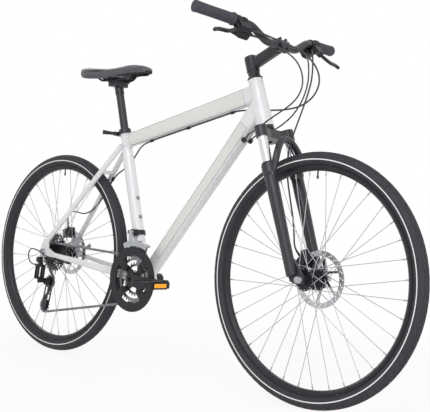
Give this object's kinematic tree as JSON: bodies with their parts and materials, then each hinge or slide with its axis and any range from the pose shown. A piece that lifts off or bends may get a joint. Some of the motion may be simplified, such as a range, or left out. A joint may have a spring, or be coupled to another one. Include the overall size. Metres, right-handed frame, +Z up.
{
  "type": "hybrid bicycle",
  "caption": "Upright hybrid bicycle with a diamond frame, short-travel suspension fork, disc brakes, derailleur gears and a padded saddle, for riding on roads and paths.",
  "frame": {"origin": "on the ground midway between the two wheel contact points, in the bicycle's middle plane", "axes": "+X forward along the wheel base, +Y to the rider's left, +Z up"},
  "size_m": [1.8121, 0.641, 1.075],
  "materials": {
    "white_frame": "pearl white paint, gloss",
    "black_metal": "satin black anodised",
    "black_steel": "satin black",
    "bright_steel": "bright",
    "dark_steel": "dark plated",
    "chrome": "polished",
    "tyre": "matt",
    "black_plastic": "moulded",
    "grip_rubber": "matt",
    "hose": "smooth",
    "saddle_cover": "smooth padded vinyl"
  },
  "bodies": {
    "frame": {"head_tube": "white_frame", "top_tube": "white_frame", "down_tube": "white_frame", "seat_tube": "white_frame", "chain_stays": "white_frame", "seat_stays": "white_frame", "bearing_cups": "black_metal", "seat_clamp": "black_metal", "rear_axle": "black_steel", "rear_caliper": "black_metal", "front_derailleur_clamp": "black_steel", "derailleur_knuckle": "black_metal", "chain": "dark_steel", "gear_cables": "hose", "frame_fittings": "black_plastic"},
    "steering": {"fork_crown": "black_metal", "stanchions": "chrome", "stem": "black_metal", "stem_hardware": "black_metal", "handlebar": "black_metal", "grips": "grip_rubber", "control_pods": "black_plastic", "brake_hoses": "hose"},
    "fork_lowers": {"fork_lowers": "black_metal", "front_axle": "black_steel", "front_caliper": "black_metal"},
    "front_wheel": {"front_tyre": "tyre", "front_rim": "black_metal", "front_spokes": "bright_steel", "front_hub": "black_metal", "front_rotor": "bright_steel"},
    "rear_wheel": {"rear_tyre": "tyre", "rear_rim": "black_metal", "rear_spokes": "bright_steel", "rear_hub": "black_metal", "rear_rotor": "bright_steel"},
    "cassette": {"cassette": "bright_steel"},
    "crankset": {"right_crank": "black_metal", "left_crank": "black_metal", "chainrings": "dark_steel", "chain_guard": "black_plastic"},
    "right_pedal": {"right_pedal": "black_plastic"},
    "left_pedal": {"left_pedal": "black_plastic"},
    "derailleur_outer_link": {"derailleur_outer_link": "black_metal"},
    "derailleur_inner_link": {"derailleur_inner_link": "black_metal"},
    "derailleur_pivot": {"derailleur_pivot": "black_metal"},
    "derailleur_cage": {"derailleur_cage": "black_steel"},
    "guide_pulley": {"guide_pulley": "black_plastic"},
    "tension_pulley": {"tension_pulley": "black_plastic"},
    "front_derailleur_cage": {"front_derailleur_cage": "bright_steel"},
    "right_brake_lever": {"right_brake_lever": "black_metal"},
    "left_brake_lever": {"left_brake_lever": "black_metal"},
    "right_shift_lever": {"right_shift_lever": "black_plastic"},
    "left_shift_lever": {"left_shift_lever": "black_plastic"},
    "saddle": {"seat_post": "black_metal", "saddle_cover": "saddle_cover", "saddle_base": "black_plastic"},
    "seat_clamp_lever": {"seat_clamp_lever": "black_metal"},
    "front_skewer_lever": {"front_skewer_lever": "black_metal"},
    "rear_skewer_lever": {"rear_skewer_lever": "black_metal"}
  },
  "joints": [
    {"name": "steering", "type": "hinge", "parent": "frame", "child": "steering", "pos_m": [0.51151, 0, 0.33612], "axis": [-0.3256, 0, 0.9455], "range_deg": [-40, 40], "deforming": ["brake_hoses", "gear_cables"]},
    {"name": "fork_travel", "type": "slide", "parent": "steering", "child": "fork_lowers", "axis": [-0.3256, 0, 0.9455], "range_m": [0, 0.063], "stiffness_N_per_m": 9000, "springref_m": -0.02},
    {"name": "front_wheel_spin", "type": "hinge", "parent": "fork_lowers", "child": "front_wheel", "pos_m": [0.555, 0, 0.3511], "axis": [0, 1, 0], "continuous": true},
    {"name": "rear_wheel_spin", "type": "hinge", "parent": "frame", "child": "rear_wheel", "pos_m": [-0.555, 0, 0.3511], "axis": [0, 1, 0], "continuous": true},
    {"name": "crank_spin", "type": "hinge", "parent": "frame", "child": "crankset", "pos_m": [-0.10371, 0, 0.2931], "axis": [0, 1, 0], "continuous": true, "deforming": ["chain"]},
    {"name": "cassette_spin", "type": "hinge", "parent": "frame", "child": "cassette", "pos_m": [-0.555, 0, 0.3511], "axis": [0, 1, 0], "continuous": true},
    {"name": "right_pedal_spin", "type": "hinge", "parent": "crankset", "child": "right_pedal", "pos_m": [0.06629, -0.076, 0.2931], "axis": [0, 1, 0], "continuous": true},
    {"name": "left_pedal_spin", "type": "hinge", "parent": "crankset", "child": "left_pedal", "pos_m": [-0.27371, 0.076, 0.2931], "axis": [0, 1, 0], "continuous": true},
    {"name": "derailleur_shift", "type": "hinge", "parent": "frame", "child": "derailleur_outer_link", "pos_m": [-0.551, -0.0965, 0.3011], "axis": [1, 0, 0], "range_deg": [-16, 26]},
    {"name": "derailleur_inner_link_turn", "type": "hinge", "parent": "frame", "child": "derailleur_inner_link", "pos_m": [-0.551, -0.0725, 0.3011], "axis": [1, 0, 0], "range_deg": [-16, 26]},
    {"name": "derailleur_pivot_turn", "type": "hinge", "parent": "derailleur_outer_link", "child": "derailleur_pivot", "pos_m": [-0.551, -0.1005, 0.2591], "axis": [1, 0, 0], "range_deg": [-26, 16]},
    {"name": "derailleur_cage_swing", "type": "hinge", "parent": "derailleur_pivot", "child": "derailleur_cage", "pos_m": [-0.541, -0.0475, 0.2471], "axis": [0, 1, 0], "range_deg": [-50, 20], "stiffness_Nm_per_rad": 1},
    {"name": "guide_pulley_spin", "type": "hinge", "parent": "derailleur_cage", "child": "guide_pulley", "pos_m": [-0.541, -0.0475, 0.2471], "axis": [0, 1, 0], "continuous": true},
    {"name": "tension_pulley_spin", "type": "hinge", "parent": "derailleur_cage", "child": "tension_pulley", "pos_m": [-0.56091, -0.0475, 0.15933], "axis": [0, 1, 0], "continuous": true},
    {"name": "front_derailleur_shift", "type": "hinge", "parent": "frame", "child": "front_derailleur_cage", "pos_m": [-0.14237, -0.034, 0.44299], "axis": [1, 0, 0], "range_deg": [-8, 8]},
    {"name": "right_brake_squeeze", "type": "hinge", "parent": "steering", "child": "right_brake_lever", "pos_m": [0.40054, -0.1927, 1.02008], "axis": [0.782, -0.1234, 0.611], "range_deg": [0, 18], "stiffness_Nm_per_rad": 0.8, "springref_deg": -20.05},
    {"name": "left_brake_squeeze", "type": "hinge", "parent": "steering", "child": "left_brake_lever", "pos_m": [0.40054, 0.1927, 1.02008], "axis": [-0.782, -0.1234, -0.611], "range_deg": [0, 18], "stiffness_Nm_per_rad": 0.8, "springref_deg": -20.05},
    {"name": "right_shift_push", "type": "hinge", "parent": "steering", "child": "right_shift_lever", "pos_m": [0.37298, -0.14794, 1.01203], "axis": [-0.782, 0.1234, -0.611], "range_deg": [0, 25], "stiffness_Nm_per_rad": 0.5, "springref_deg": -11.46},
    {"name": "left_shift_push", "type": "hinge", "parent": "steering", "child": "left_shift_lever", "pos_m": [0.37298, 0.14794, 1.01203], "axis": [0.782, 0.1234, 0.611], "range_deg": [0, 25], "stiffness_Nm_per_rad": 0.5, "springref_deg": -11.46},
    {"name": "saddle_height", "type": "slide", "parent": "frame", "child": "saddle", "axis": [-0.2807, 0, 0.9598], "range_m": [-0.1, 0.05]},
    {"name": "seat_clamp_lever_swing", "type": "hinge", "parent": "frame", "child": "seat_clamp_lever", "pos_m": [-0.26974, -0.0194, 0.76966], "axis": [0.1129, 0, 0.9936], "range_deg": [0, 100]},
    {"name": "front_skewer_lever_swing", "type": "hinge", "parent": "fork_lowers", "child": "front_skewer_lever", "pos_m": [0.555, 0.0764, 0.3511], "axis": [-0.9371, 0, -0.3489], "range_deg": [0, 150]},
    {"name": "rear_skewer_lever_swing", "type": "hinge", "parent": "frame", "child": "rear_skewer_lever", "pos_m": [-0.555, 0.0909, 0.3511], "axis": [-0.4903, 0, 0.8716], "range_deg": [0, 150]}
  ],
  "couplings": [
    {"joint": "cassette_spin", "follows": "crank_spin", "ratio": 2.1176},
    {"joint": "guide_pulley_spin", "follows": "crank_spin", "ratio": -3.2727},
    {"joint": "tension_pulley_spin", "follows": "crank_spin", "ratio": 3.2727},
    {"joint": "derailleur_inner_link_turn", "follows": "derailleur_shift", "ratio": 1},
    {"joint": "derailleur_pivot_turn", "follows": "derailleur_shift", "ratio": -1}
  ]
}
